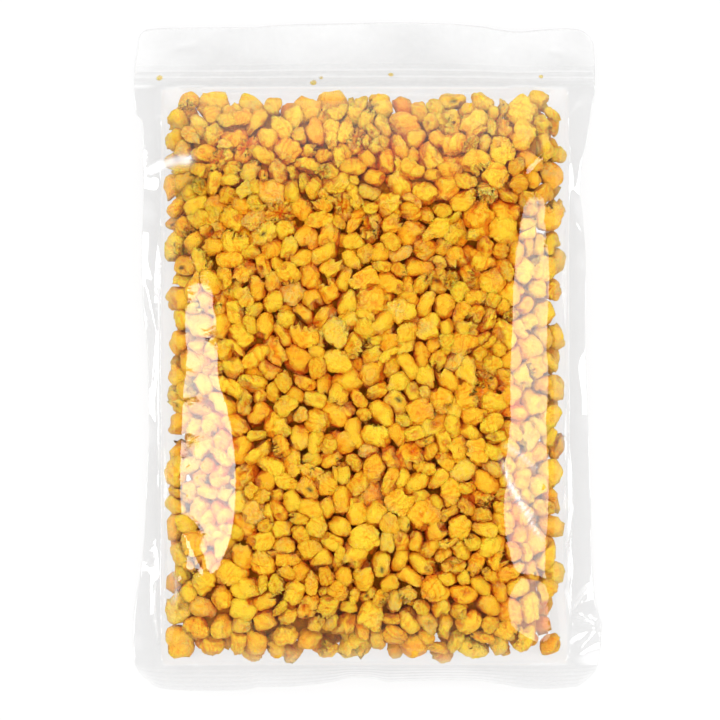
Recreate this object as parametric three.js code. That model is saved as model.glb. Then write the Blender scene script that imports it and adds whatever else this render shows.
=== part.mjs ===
// A clear press-to-close pouch packed with sweetcorn kernels, lying on its back on a table.
// It is one closed solid: the packed pocket, whose front film shows a bump for each kernel under it,
// and the flat sealed margins round it, with the zip across the header and the seal along the foot.
// Units are millimetres. +X runs across the pouch, +Y from its foot to its zip, and +Z is up.
// The origin lies under the middle of the pouch, on the surface that it rests on.
import * as THREE from "three";

const { lerp, clamp, seededRandom } = THREE.MathUtils;

// The pocket, inside the seams.
const POCKET = { left: -80, right: 79, foot: -118, mouth: 105.4 };
const POCKET_DEPTH = 31;
const SEAM_HEIGHT = 10; // of the side seams above the table
const FOOT_BULGE = 0.07; // the kernels settle, so the foot is fuller and the mouth thinner
const SHOULDER = { across: 5, along: 7, bluntness: 0.65 }; // higher powers give a flatter front
const BASE_STEPS = [0.975, 0.93, 0.87]; // shares of the pocket over which the back film comes down to the table

// The kernels under the front film.
const KERNEL_COLUMNS = 19;
const KERNEL_ROWS = 27; // an odd number, so that the first and last rows have their walls in line
const KERNEL_RELIEF = 2.6; // from a kernel's crown to the gap beside it
const KERNEL_JITTER = 1.5;
const CROWN_SHARE = [0.52, 0.78]; // of the cell, taken up by a kernel's crown
const CROWN_TILT = 0.5;
const SUNK_KERNELS = 0.12; // the share that lie deeper than their neighbours
const SUNK_BY = 1.3;
const JOINT_SHIFT = 1 / 6; // of a row, up and down by turns, which gives the cells six corners
const SEED = 7;

// The sealed margins and the zip.
const MARGIN_THICKNESS = 0.8;
const SIDE_DROOP = 2.2;
const FOOT_DROOP = 4;
const HEADER_DROOP = 4;
const BEND = 1.6; // above 1 the film bends more the further out it is
const RIPPLE = { side: 1.1, foot: 1.5, header: 1.3, length: 74 };
const CORNER_RADIUS = 8;
const SIDE_WIDTH = 10; // nominal, before the edge is drawn in
const FOOT_WIDTH = 11.5;
const HEADER_WIDTH = 24.5;
const SIDE_STEPS = [0.5, 1]; // shares of the margin's width
const FOOT_STEPS = [0.3, 0.65, 1];
const ZIP_RIDGES = [3.6, 6.2]; // from the pocket's mouth to each ridge's middle
const ZIP_RIDGE = { foot: 0.9, crown: 0.35, height: 0.7 }; // half widths, and height above the film
const WELD_LINE = 9; // the upper edge of the band that holds the zip
const HEADER_STEPS = [15, 20.5];

// The outer edge, drawn in where the packed pocket pulls the film: [along the edge, across it].
const LEFT_EDGE = [
  [-129, -88.5], [-112, -90], [-91, -88.8], [-66, -85.6], [-27, -84.5], [22, -86.6],
  [61, -87.2], [90, -87.6], [95, -90.3], [129, -90.3],
];
const RIGHT_EDGE = [
  [-129, 89.5], [-103, 91.9], [-85, 89.6], [-36, 87.2], [11, 86], [46, 85.5],
  [77, 84.4], [93, 86.8], [108, 89.1], [129, 89.1],
];
const TOP_EDGE = [[-90, 127.3], [-65, 127.9], [-26, 129.4], [11, 131], [33, 130.6], [60, 127.9], [90, 128]];
const FOOT_EDGE = [[-90, -128], [-59, -129.8], [-26, -128.6], [-6, -124.9], [25, -126.7], [64, -129.6], [90, -128]];

// A smooth function through the given points.
function smoothLine(points) {
  const curve = new THREE.CubicInterpolant(points.map((p) => p[0]), points.map((p) => p[1]), 1);
  const [first, last] = [points[0][0], points[points.length - 1][0]];
  return (along) => curve.evaluate(clamp(along, first, last))[0];
}

const leftEdge = smoothLine(LEFT_EDGE);
const rightEdge = smoothLine(RIGHT_EDGE);
const topEdge = smoothLine(TOP_EDGE);
const footEdge = smoothLine(FOOT_EDGE);

const random = (low, high) => lerp(low, high, seededRandom());

// Where a coordinate lies: below 0 in the margin before the pocket, 0 to 1 inside it, above 1 in the margin after it.
const across = (x) => (x - POCKET.left) / (POCKET.right - POCKET.left);
const along = (y) => (y - POCKET.foot) / (POCKET.mouth - POCKET.foot);

// How far out in a margin a coordinate lies: 0 at the seam, and 1 at the outer edge.
const sideShare = (x) => Math.max(0, POCKET.left - x, x - POCKET.right) / SIDE_WIDTH;
const footShare = (y) => Math.max(0, POCKET.foot - y) / FOOT_WIDTH;
const headerShare = (y) => Math.max(0, y - POCKET.mouth) / HEADER_WIDTH;

// Moves a point of the nominal rectangle to its place in the drawn-in, round-cornered outline.
function drawnIn(x, y) {
  const outerX = x < 0 ? leftEdge(y) : rightEdge(y);
  const outerY = y < 0 ? footEdge(x) : topEdge(x);
  const seamX = x < 0 ? POCKET.left : POCKET.right;
  const seamY = y < 0 ? POCKET.foot : POCKET.mouth;
  const place = new THREE.Vector2(
    across(x) < 0 || across(x) > 1 ? lerp(seamX, outerX, sideShare(x)) : x,
    along(y) < 0 || along(y) > 1 ? lerp(seamY, outerY, footShare(y) + headerShare(y)) : y,
  );
  const corner = new THREE.Vector2(outerX - Math.sign(x) * CORNER_RADIUS, outerY - Math.sign(y) * CORNER_RADIUS);
  const out = place.clone().sub(corner);
  if (out.x * Math.sign(x) > 0 && out.y * Math.sign(y) > 0) {
    out.setLength(Math.max(Math.abs(out.x), Math.abs(out.y)));
    place.copy(corner).add(out);
  }
  return place;
}

// 0 at the pocket's two seams and 1 over most of what lies between them.
const shoulder = (share, power) => Math.max(0, 1 - Math.abs(2 * share - 1) ** power) ** SHOULDER.bluntness;

function frontHeight(x, y) {
  const depth = POCKET_DEPTH * (1 - FOOT_BULGE * (2 * along(y) - 1)) - SEAM_HEIGHT;
  const rise = shoulder(across(x), SHOULDER.across) * shoulder(along(y), SHOULDER.along);
  return SEAM_HEIGHT + MARGIN_THICKNESS / 2 + depth * rise;
}

// The zip's raised ridges, on both faces of the header.
function zipRelief(y) {
  const nearest = Math.min(...ZIP_RIDGES.map((middle) => Math.abs(y - POCKET.mouth - middle)));
  return nearest < (ZIP_RIDGE.foot + ZIP_RIDGE.crown) / 2 ? ZIP_RIDGE.height : 0;
}

// The middle of the two sealed films, which droops and ripples towards the outer edge.
function marginHeight(x, y) {
  const [side, foot, header] = [sideShare(x), footShare(y), headerShare(y)];
  const wave = (distance, start) => Math.sin((2 * Math.PI * (distance - start)) / RIPPLE.length);
  return (
    SEAM_HEIGHT -
    SIDE_DROOP * side ** BEND -
    FOOT_DROOP * foot ** BEND -
    HEADER_DROOP * header ** BEND +
    RIPPLE.side * side * wave(y, 10) * (1 - Math.max(foot, header)) +
    RIPPLE.foot * foot * wave(x, -25) +
    RIPPLE.header * header ** BEND * wave(x, 0)
  );
}

// Evenly spaced places from one seam to the other.
const evenly = (from, to, count) => Array.from({ length: count + 1 }, (_, k) => lerp(from, to, k / count));

// The nominal grid: a line beside each column and row of kernels, and the margins' lines.
function gridLines() {
  const ridges = ZIP_RIDGES.flatMap((middle) => [
    middle - ZIP_RIDGE.foot, middle - ZIP_RIDGE.crown, middle + ZIP_RIDGE.crown, middle + ZIP_RIDGE.foot,
  ]);
  const header = [...ridges, WELD_LINE, ...HEADER_STEPS, HEADER_WIDTH].map((step) => POCKET.mouth + step);
  return {
    x: [
      ...SIDE_STEPS.toReversed().map((s) => POCKET.left - s * SIDE_WIDTH),
      ...evenly(POCKET.left, POCKET.right, KERNEL_COLUMNS),
      ...SIDE_STEPS.map((s) => POCKET.right + s * SIDE_WIDTH),
    ],
    y: [
      ...FOOT_STEPS.toReversed().map((s) => POCKET.foot - s * FOOT_WIDTH),
      ...evenly(POCKET.foot, POCKET.mouth, KERNEL_ROWS),
      ...header,
    ],
  };
}

// Collects vertices and faces of one closed surface.
class Surface {
  points = [];
  faces = [];

  point(x, y, z) {
    this.points.push(x, y, z);
    return this.points.length / 3 - 1;
  }

  // Corners in anticlockwise order, seen from outside.
  face(...corners) {
    for (let k = 1; k + 1 < corners.length; k++) this.faces.push(corners[0], corners[k], corners[k + 1]);
  }

  geometry() {
    const made = new THREE.BufferGeometry();
    made.setAttribute("position", new THREE.Float32BufferAttribute(this.points, 3));
    made.setIndex(this.faces);
    made.computeVertexNormals();
    return made;
  }
}

const lines = gridLines();
const firstX = SIDE_STEPS.length;
const lastX = firstX + KERNEL_COLUMNS;
const firstY = FOOT_STEPS.length;
const lastY = firstY + KERNEL_ROWS;
const insidePocket = (i, j) => i > firstX && i < lastX && j > firstY && j < lastY;

// The two faces of the sealed margins. Inside the pocket the grid stays empty.
function marginPoints(surface, side) {
  return lines.x.map((x, i) =>
    lines.y.map((y, j) => {
      if (insidePocket(i, j)) return null;
      const place = drawnIn(x, y);
      const height = marginHeight(x, y) + side * (MARGIN_THICKNESS / 2 + zipRelief(y));
      return surface.point(place.x, place.y, height);
    }),
  );
}

function marginFaces(surface, grid, side) {
  for (let i = 0; i + 1 < lines.x.length; i++) {
    for (let j = 0; j + 1 < lines.y.length; j++) {
      if (i >= firstX && i < lastX && j >= firstY && j < lastY) continue;
      const corners = [grid[i][j], grid[i + 1][j], grid[i + 1][j + 1], grid[i][j + 1]];
      surface.face(...(side > 0 ? corners : corners.reverse()));
    }
  }
}

// The grid places round a rectangle of the grid, anticlockwise seen from above.
function loop(fromI, fromJ, toI, toJ) {
  const places = [];
  for (let i = fromI; i < toI; i++) places.push([i, fromJ]);
  for (let j = fromJ; j < toJ; j++) places.push([toI, j]);
  for (let i = toI; i > fromI; i--) places.push([i, toJ]);
  for (let j = toJ; j > fromJ; j--) places.push([fromI, j]);
  return places;
}

// Joins two loops of the same length with a band of faces.
function band(surface, lower, upper) {
  lower.forEach((_, k) => {
    const next = (k + 1) % lower.length;
    surface.face(lower[k], lower[next], upper[next], upper[k]);
  });
}

// The back film curves down from the seams to the flat base that the pouch rests on.
function backOfPocket(surface, grid) {
  const middle = [(POCKET.left + POCKET.right) / 2, (POCKET.foot + POCKET.mouth) / 2];
  const rim = loop(firstX, firstY, lastX, lastY);
  const flat = BASE_STEPS[BASE_STEPS.length - 1];
  let outer = rim.map(([i, j]) => grid[i][j]);
  for (const share of BASE_STEPS) {
    const height = (SEAM_HEIGHT - MARGIN_THICKNESS / 2) * ((share - flat) / (1 - flat)) ** BEND;
    const inner = rim.map(([i, j]) =>
      surface.point(lerp(middle[0], lines.x[i], share), lerp(middle[1], lines.y[j], share), height));
    band(surface, inner, outer);
    outer = inner;
  }
  const centre = surface.point(middle[0], middle[1], 0);
  outer.forEach((point, k) => surface.face(centre, outer[(k + 1) % outer.length], point));
}

// The gaps where kernels meet, which lie like the joints of a brick wall, at every half column of each line between
// two rows. On the pocket's own edge they are the margin's points, and only the full columns have one.
function joints(surface, grid) {
  const halfColumn = (POCKET.right - POCKET.left) / KERNEL_COLUMNS / 2;
  const rowHeight = (POCKET.mouth - POCKET.foot) / KERNEL_ROWS;
  const last = 2 * KERNEL_COLUMNS;
  const joint = (half, row) => {
    if (row === 0 || row === KERNEL_ROWS || half === 0 || half === last) {
      const onLine = half % 2 === 0;
      return onLine ? grid[firstX + half / 2][firstY + row] : null;
    }
    const shift = (half + row) % 2 === 0 ? JOINT_SHIFT : -JOINT_SHIFT;
    const x = POCKET.left + half * halfColumn + random(-KERNEL_JITTER, KERNEL_JITTER);
    const y = POCKET.foot + (row + shift) * rowHeight + random(-KERNEL_JITTER, KERNEL_JITTER) / 2;
    return surface.point(x, y, frontHeight(x, y) - KERNEL_RELIEF);
  };
  return Array.from({ length: last + 1 }, (_, half) =>
    Array.from({ length: KERNEL_ROWS + 1 }, (_, row) => joint(half, row)));
}

// One kernel: a crown inside its cell, with flanks down to the gaps round it.
function kernel(surface, rim) {
  const places = rim.map((k) => new THREE.Vector2(surface.points[3 * k], surface.points[3 * k + 1]));
  const middle = places.reduce((sum, place) => sum.add(place), new THREE.Vector2()).divideScalar(rim.length);
  const sunk = seededRandom() < SUNK_KERNELS ? SUNK_BY : 0;
  const crown = places.map((place) => {
    const { x, y } = middle.clone().lerp(place, random(...CROWN_SHARE));
    return surface.point(x, y, frontHeight(x, y) - sunk + random(-CROWN_TILT, CROWN_TILT));
  });
  surface.face(...crown);
  band(surface, rim, crown);
}

// Rows of kernels, each half a kernel out of step with the last, so every other row has a half kernel at its ends.
function kernels(surface, grid) {
  const gaps = joints(surface, grid);
  for (let row = 0; row < KERNEL_ROWS; row++) {
    for (let from = -(row % 2); from < 2 * KERNEL_COLUMNS; from += 2) {
      const cell = gaps.slice(Math.max(0, from), from + 3);
      const lower = cell.map((column) => column[row]);
      const upper = cell.map((column) => column[row + 1]).reverse();
      kernel(surface, [...lower, ...upper].filter((point) => point !== null));
    }
  }
}

function pouchGeometry() {
  const surface = new Surface();
  const front = marginPoints(surface, 1);
  const back = marginPoints(surface, -1);
  marginFaces(surface, front, 1);
  marginFaces(surface, back, -1);
  const edge = loop(0, 0, lines.x.length - 1, lines.y.length - 1);
  band(surface, edge.map(([i, j]) => back[i][j]), edge.map(([i, j]) => front[i][j]));
  backOfPocket(surface, back);
  kernels(surface, front);
  return surface.geometry();
}

seededRandom(SEED);
const cornYellow = new THREE.MeshStandardMaterial({ color: 0xf2b21c, roughness: 0.35, metalness: 0 });
const pouch = new THREE.Mesh(pouchGeometry(), cornYellow);
pouch.name = "filled_pouch";

// The outline isn't quite even, so the pouch is moved to lie with its middle over the origin.
pouch.geometry.computeBoundingBox();
const middle = pouch.geometry.boundingBox.getCenter(new THREE.Vector3());
pouch.position.set(-middle.x, -middle.y, 0);

const group = new THREE.Group();
group.add(pouch);
export default group;
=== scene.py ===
# A clear press-to-close pouch packed with sweetcorn kernels, lying on its back on a pale floor.
# Every kernel has its own closed surface, and is packed between the two films by relaxing groups of spheres.
# The front film is stiff, with flat panels in its shoulders, and is draped over the kernels.
# Sizes are in millimetres, as in the part. They become metres when a mesh is made.
import math
from collections import namedtuple

import bpy
import numpy as np
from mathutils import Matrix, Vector


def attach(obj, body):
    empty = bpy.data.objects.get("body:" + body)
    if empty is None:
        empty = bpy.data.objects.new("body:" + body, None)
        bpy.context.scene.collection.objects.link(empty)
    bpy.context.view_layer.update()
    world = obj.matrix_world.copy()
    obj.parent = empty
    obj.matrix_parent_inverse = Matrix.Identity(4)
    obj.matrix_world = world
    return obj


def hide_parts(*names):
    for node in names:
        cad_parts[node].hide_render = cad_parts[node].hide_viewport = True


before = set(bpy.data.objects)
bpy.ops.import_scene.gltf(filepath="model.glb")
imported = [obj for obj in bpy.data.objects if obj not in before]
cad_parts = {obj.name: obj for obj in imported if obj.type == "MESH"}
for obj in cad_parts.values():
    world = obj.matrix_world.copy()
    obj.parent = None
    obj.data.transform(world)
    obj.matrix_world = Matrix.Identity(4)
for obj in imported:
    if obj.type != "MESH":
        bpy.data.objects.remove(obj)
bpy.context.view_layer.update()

MM = 0.001
BODY = "root"
NODE = "filled_pouch"
SEED = 11

# The pouch's form, as in the part. The first line gives the pocket's seams.
LEFT, RIGHT, FOOT, MOUTH = -80, 79.2, -120.5, 105.4
POCKET_DEPTH = 31
SEAM_HEIGHT = 10
FOOT_BULGE = 0.07
SHOULDER = {"across": 5, "along": 7, "bluntness": 0.65}
BASE_SHARE = 0.87
BEND = 1.6
DROOP = {"side": 1.0, "foot": 4, "header": 4}
RIPPLE = {"side": 1.1, "foot": 1.5, "header": 1.3, "length": 74}
STEEPEST = 2.3  # rise for each millimetre in from a seam
SIDE_WIDTH = 9.5
FOOT_WIDTH = 9
HEADER_WIDTH = 24.5
ZIP_RIDGES = (3.6, 6.2)
ZIP_HEIGHT = 0.32
WELD_LINE = 9

# Where the film is pulled flat across a shoulder: how it slopes, how deep it cuts and how far it reaches.
Panel = namedtuple("Panel", "middle slope depth reach")
PANELS = (
    Panel((-62.5, -42), (0.42, 0), 2.3, 42),
    Panel((-63.5, 11), (0.42, 0), 0.45, 28),
    Panel((64, 28), (-0.45, 0), 0.9, 62),
    Panel((61, -46), (-0.45, 0), 1.5, 45),
    Panel((63, -95), (-0.45, 0.22), 1.6, 28),
)
# Where a side margin is pulled straight and slopes down more: side, middle, reach and slope.
FLARES = ((-1, 8.6, 32, 0.26), (1, -110, 9, 0.3))

# The outer edge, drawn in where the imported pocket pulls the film: (along the edge, across it).
LEFT_EDGE = (
    (-130, -89.6), (-120, -90.4), (-111, -91.1), (-101, -90.9), (-91, -89.4), (-81, -87.9), (-62, -86.3),
    (-42, -85.6), (-32, -84.9), (-13, -85.3), (7, -86.1), (16, -87.2), (36, -87.9), (65, -87.2), (88, -87.5),
    (92, -87.8), (95.5, -90.1), (102, -90.7), (114, -90.5), (121, -89.6), (130, -89),
)
RIGHT_EDGE = (
    (-130, 90), (-120, 90.8), (-111, 92.4), (-105, 92.6), (-101, 91.2), (-91, 89.2), (-72, 88.4), (-32, 87.2),
    (7, 86), (36, 86), (56, 84.8), (65, 83.8), (75, 84.4), (85, 86.6), (97, 88.4), (104, 89.5), (114, 89.5),
    (130, 89),
)
TOP_EDGE = (
    (-90, 128.4), (-78, 129), (-45, 129.1), (-36, 130), (-22, 130.6), (10, 131), (30, 130.6), (44, 129.8),
    (53, 128.3), (60, 127.6), (67, 128.2), (77, 128.7), (90, 128),
)
FOOT_EDGE = (
    (-90, -129), (-74, -130.6), (-59, -131), (-48, -130.6), (-41, -129.5), (-31, -129.4), (-22, -128.6),
    (-12, -127.1), (-6, -125.6), (2, -125.9), (9, -127.3), (29, -126.8), (44, -127.1), (53, -128.3),
    (63, -129.8), (70, -130.1), (81, -129.4), (90, -128.5),
)
# Each corner is (side, end, radius): side -1 is the left, and end -1 the foot.
CORNERS = ((-1, 1, 3.5), (1, 1, 6.5), (-1, -1, 10), (1, -1, 8.5))

# The film.
FILM_STEP = 1.25
SEALED_GAP = 0.3  # between the two films of a margin
KERNEL_CLEARANCE = 0.15
FILM_SAG = 0.006  # how far the film is drawn in between kernels, at each step of relaxing it
FILM_ROUNDS = 400
FILM_DIP = 0.08  # how much of a soft membrane's dips between kernels it follows
STIFFNESS = 40  # rounds of evening out, which the film's own stiffness does
LIFT = {"rounds": 8, "share": 1.3}  # of the film off the kernels that it would cut

FACE_ON = 0.04  # how much of the light one face of the film sends straight back
BOTH_FACES = 1.6  # times what one face sends back
MILKY_TONES = (0.5, 0.95)  # of a milky margin, and of a fold's painted glint
# How milky the sealed margins are. The weld line makes the header's outer part clearer.
MILK = {"side": 0.06, "foot": 0.05, "rib": 0.04, "header": 0.3, "weld": 0.1}
RIB = {"pitch": 1.6, "height": 0.12}  # of the foot seal

# Sharp folds of the film, each along a path of points: how high it stands, how wide it is, and how strong
# its painted glint, milky white, is over what spread.
Fold = namedtuple("Fold", "path height width white spread", defaults=(0, 0.75))
CREASES = (
    Fold(((51, -36), (56, -51), (63, -63), (70, -73)), 0.2, 0.8, 0.65),
    Fold(((52, -33), (60, -38), (67, -45)), 0.12, 0.8, 0.5),
    Fold(((54, -46), (60, -56), (66, -64)), 0.15, 0.8, 0.7),
    Fold(((75.5, 87), (72, 84.5), (66, 78), (60, 71)), 0.8, 1.2),
    Fold(((78.2, 82.5), (74.7, 76), (74.3, 70)), 0.6, 0.8),
    Fold(((-72, -62), (-67, -76), (-63, -84), (-65, -90), (-71, -95)), 0.7, 1.1),
    Fold(((-72, -60), (-75, -80), (-72, -98)), 0.5, 1),
    Fold(((78.2, -9), (77.8, -22), (77.4, -32), (79, -41), (80.2, -60), (78.4, -73), (79.4, -84),
          (78.6, -90), (79.8, -100), (80.5, -112)), 0.9, 0.7, 0.8),
    Fold(((-81.4, 62), (-80.6, 40), (-80.9, 20), (-81.2, -20), (-80.6, -60)), 0.5, 0.6, 0.5),
    Fold(((-82.3, -86), (-82.6, -100), (-81, -114)), 0.9, 0.7, 0.5),
    Fold(((79.8, -100), (92, -106)), 1.1, 1.2, 0.5),
    Fold(((79.8, -100), (87, -90)), 1, 1.2, 0.5),
    Fold(((82, -116), (91, -107)), 0.9, 1),
    Fold(((-88, 71), (-80, 75), (-72, 76.5), (-65, 75.5)), 0.6, 2, 0.85, 2.4),
    Fold(((-76, -81), (-73, -89), (-75, -97)), 1, 1.6, 0.5),
    Fold(((-87, 33), (-82, 10), (-84, -14)), 0.8, 2.2),
    Fold(((-80, -114), (-73, -115), (-67, -119), (-64, -124)), 0.6, 0.9),
    Fold(((-76, 120), (-71, 121.6), (-65, 122)), 0.3, 0.8),
    Fold(((71, 120), (78, 118.5)), 0.3, 0.7),
    Fold(((-83, 101.5), (-80, 103)), 0.4, 0.6),
    Fold(((-83, 97), (-80, 98)), 0.4, 0.6),
    Fold(((-83.5, 92), (-79.5, 93)), 0.5, 0.7),
    Fold(((79, 92), (84, 99)), 0.4, 0.8),
)
# Crumbs caught beside the zip: across, along and half size.
CRUMBS = (
    (-20.7, 107.4, 1.3), (-80.6, 109.2, 1.2), (9.8, 110.4, 0.9), (68.4, 109.6, 0.9), (-17.5, 109.2, 0.7),
)
PUCKERS = {"pitch": 9, "length": 14, "height": 0.25}  # short folds that run in from the side seams

# The camera, straight above, as far off as a long lens.
PHOTO_PIXELS = 720
MM_PER_PIXEL = 0.391
PHOTO_CENTRE = (-2.35, -1.2)  # of the picture, in the part's drawing
CAMERA_HEIGHT = 1400
SENSOR = 36

# The soft boxes: name, place, target and size in metres, watts, and whether reflections show it.
SOFT_BOXES = (
    ("overhead", (0, 0.12, 1.5), (0, 0, 0), (1.6, 1.6), 33, False),
    ("foot_fill", (0, -1.2, 0.8), (0, -0.1, 0), (1.4, 0.8), 7.5, False),
    ("left_strip", (-0.806, -0.055, 0.695), (-0.0625, -0.055, 0.025), (0.22, 0.5), 2.2, True),
    ("right_strip", (0.847, -0.023, 0.647), (0.0645, -0.023, 0.025), (0.34, 0.45), 2.1, True),
    ("corner_strip", (0.775, -0.493, 0.6), (0.064, -0.098, 0.02), (0.25, 0.25), 0.6, True),
)
SKY = {"low": 0.4, "overhead": 0.01, "beyond_zip": 1.35, "beyond_foot": 0.2}
FLOOR_GLOW = 0.74
FLOOR_REACH = 2.5

# The kernels. Half sizes are across, thick and tall, and the tip that was torn off the cob is at the bottom.
Kind = namedtuple("Kind", "name share half foot groove torn notch curl pale")
KINDS = (
    Kind("plump", 0.18, (4.6, 3.5, 4.4), 0.78, 0.5, 0.7, 0.25, 0, 0.3),
    Kind("grooved", 0.2, (4.9, 3.0, 4.9), 0.66, 1.2, 1.0, 0.25, 0, 1.0),
    Kind("torn", 0.24, (4.8, 3.2, 4.4), 0.95, 0.5, 2.6, 0.4, 0, 0.5),
    Kind("notched", 0.2, (5.0, 3.0, 4.6), 0.9, 0.5, 0.9, 0.7, 0, 0.4),
    Kind("slim", 0.1, (3.2, 2.6, 5.0), 0.6, 0.4, 0.8, 0.2, 0.4, 0.4),
    Kind("flake", 0.08, (4.0, 1.7, 3.6), 0.9, 0, 0.6, 0.3, 1.2, 0.6),
)
VARIANTS = 12  # shapes of each kind
PRESSED_SIDES = (0, 1.2, 2.6, 3.8, 5.1)  # angles round a kernel, where its neighbours on the cob were
DENTS = 7
# The dry skin's wrinkles, coarse to fine: how close they lie and how high they stand.
WRINKLES = ((0.5, 0.6), (0.75, 0.45), (1.1, 0.32), (1.6, 0.22), (2.3, 0.1))
DARK_TIP_SHARE = 0.25
SIZES = {"largest": 1.4, "range": 0.6, "leaning": 1.3}  # more of them are large than small
DULL_SHARE = 0.08  # of the kernels, which are tan all over
DULLNESS = 0.45
LIGHTEST = 1.0  # tone at the top of the heap, where 0 is the deepest colour
TONES = 0.3  # how much the kernels differ
# Painted shade in a kernel's creases, with half as much painted highlight on its sharp edges.
CREASE_SHADE = 0.32
SIDE_SHADE = 0.35  # painted shade: how much deeper a kernel's sides are in colour than its top, where its neighbours shade them
FACES_UP = 0.8  # the upward share of a direction, from which on it isn't a side
# Painted shade: how the colour deepens under the heap's surface, which is taken this far under the film.
SHADE = {"surface": 1.0, "from": 0.6, "over": 5.5, "most": 0.72, "at_seam": 0.15}
CLEAR_OF_SEAM = 12  # nearer to a seam than this, light comes in from the side and little is shaded
SEAM_FADE = 14
# Each is deep, mid, bright and pale, in linear colour. Painted shade takes a kernel from bright towards mid
# and deep.
KERNEL_COLOURS = ((0.76, 0.12, 0.002), (0.86, 0.35, 0.005), (0.87, 0.6, 0.03), (0.72, 0.53, 0.14))
# The core's colours are deeper than the kernels': painted shade for the heap's hidden middle.
CORE_COLOURS = ((0.6, 0.13, 0.004), (0.74, 0.26, 0.005), (0.85, 0.5, 0.02), (0.6, 0.4, 0.1))
DARK_TIP = (0.06, 0.035, 0.02)

FRONT_KERNELS = 670
BACK_KERNELS = 530
FINE, MIDDLE, COARSE = 11, 6, 3  # cells along each edge of the cube that a kernel's ball is made from
DEEPEST = {"fine": 4.8, "middle": 9}  # how far under the front film such a kernel's middle may lie
CLOSE_TO_BASE = 5  # a kernel's middle that is lower than this over the back film shows from behind

# How the kernels are packed.
CORE_HALF = 5.0  # half its depth
CORE_INSET = 16
CORE_SLOPE = 14  # how far it takes to reach its full depth
CORE_LEVEL = 15.5
# Painted shade: the core's tone is set deep, as it lies under the heap.
CORE_TONE = 0.35
FILM_ROOM = 0.9  # less near the seams
MOST_HELD_BACK = 2.5
HOLD_ROUNDS = 3
# How far in from each seam the kernels start: axis, way in, seam and distance.
SEAM_ROOM = ((0, 1, LEFT, -0.3), (0, -1, RIGHT, -0.6), (1, 1, FOOT, 0.2), (1, -1, MOUTH, 0.3))
UNEVEN_SEAM = 1.4
PACK_STEPS = 150
GROW_STEPS = 90  # in which they grow to full size
FIRST_SIZE = 0.62
DRIFT = 0.07  # towards the film on their side of the core
SHAKE = 0.1
PUSH = 1.5  # how far they give way to what they touch
TWIST = 1.2
INERTIA = 0.35


def smoothstep(value):
    value = np.clip(value, 0, 1)
    return value * value * (3 - 2 * value)


def smooth_line(points):
    """A smooth function through the given points, which never swings past them."""
    at, level = np.array(points, float).T
    pitch = np.diff(level) / np.diff(at)
    slope = np.zeros_like(at)
    same_way = pitch[1:] * pitch[:-1] > 0
    slope[1:-1][same_way] = (2 * pitch[1:] * pitch[:-1] / (pitch[1:] + pitch[:-1]))[same_way]

    def evaluate(along):
        along = np.clip(along, at[0], at[-1])
        k = np.clip(np.searchsorted(at, along, side="right") - 1, 0, len(at) - 2)
        width = at[k + 1] - at[k]
        t = (along - at[k]) / width
        rise = level[k] * (2 * t**3 - 3 * t**2 + 1) + level[k + 1] * (3 * t**2 - 2 * t**3)
        return rise + width * (slope[k] * (t**3 - 2 * t**2 + t) + slope[k + 1] * (t**3 - t**2))

    return evaluate


edges = (LEFT_EDGE, RIGHT_EDGE, TOP_EDGE, FOOT_EDGE)
left_edge, right_edge, top_edge, foot_edge = (smooth_line(edge) for edge in edges)


def across(x):
    return (x - LEFT) / (RIGHT - LEFT)


def along(y):
    return (y - FOOT) / (MOUTH - FOOT)


def side_share(x):
    return np.maximum(0, np.maximum(LEFT - x, x - RIGHT)) / SIDE_WIDTH


def foot_share(y):
    return np.maximum(0, FOOT - y) / FOOT_WIDTH


def header_share(y):
    return np.maximum(0, y - MOUTH) / HEADER_WIDTH


def drawn_in(x, y):
    """Moves points of the nominal rectangle to their places in the drawn-in, round-cornered outline."""
    outer_x = np.where(x < 0, left_edge(y), right_edge(y))
    outer_y = np.where(y < 0, foot_edge(x), top_edge(x))
    seam_x = np.where(x < 0, LEFT, RIGHT)
    seam_y = np.where(y < 0, FOOT, MOUTH)
    end_share = foot_share(y) + header_share(y)
    new_x = np.where(side_share(x) > 0, seam_x + (outer_x - seam_x) * side_share(x), x)
    new_y = np.where(end_share > 0, seam_y + (outer_y - seam_y) * end_share, y)
    for side, end, radius in CORNERS:
        corner_x = outer_x - side * radius
        corner_y = outer_y - end * radius
        u = (new_x - corner_x) * side / radius
        v = (new_y - corner_y) * end / radius
        here = (u > 0) & (v > 0) & (x * side > 0) & (y * end > 0)
        u, v = np.clip(u, 0, 1), np.clip(v, 0, 1)
        new_x = np.where(here, corner_x + side * radius * u * np.sqrt(1 - v * v / 2), new_x)
        new_y = np.where(here, corner_y + end * radius * v * np.sqrt(1 - u * u / 2), new_y)
    return new_x, new_y


def shoulder(share, power):
    """0 at the pocket's two seams and 1 over most of what lies between them."""
    return np.maximum(0, 1 - np.abs(2 * share - 1) ** power) ** SHOULDER["bluntness"]


def from_seams(x, y):
    """The distance to the nearest of the pocket's four seams."""
    from_sides = np.minimum(x - LEFT, RIGHT - x)
    return np.minimum(from_sides, np.minimum(y - FOOT, MOUTH - y))


def pillow_height(x, y):
    """The pillow's front. It leaves its seams at no more than a steady slope."""
    depth = POCKET_DEPTH * (1 - FOOT_BULGE * (2 * along(y) - 1)) - SEAM_HEIGHT
    rise = depth * shoulder(across(x), SHOULDER["across"]) * shoulder(along(y), SHOULDER["along"])
    return SEAM_HEIGHT + np.minimum(rise, STEEPEST * np.maximum(0, from_seams(x, y)))


def front_height(x, y):
    """The pillow's front with its flat panels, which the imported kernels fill."""
    height = pillow_height(x, y)
    for panel in PANELS:
        middle_x, middle_y = panel.middle
        lowest = pillow_height(np.float64(middle_x), np.float64(middle_y)) - panel.depth
        slope_x, slope_y = panel.slope
        level = lowest + slope_x * (x - middle_x) + slope_y * (y - middle_y)
        height = np.minimum(height, level + panel.depth * ((y - middle_y) / panel.reach) ** 2)
    return height


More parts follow.
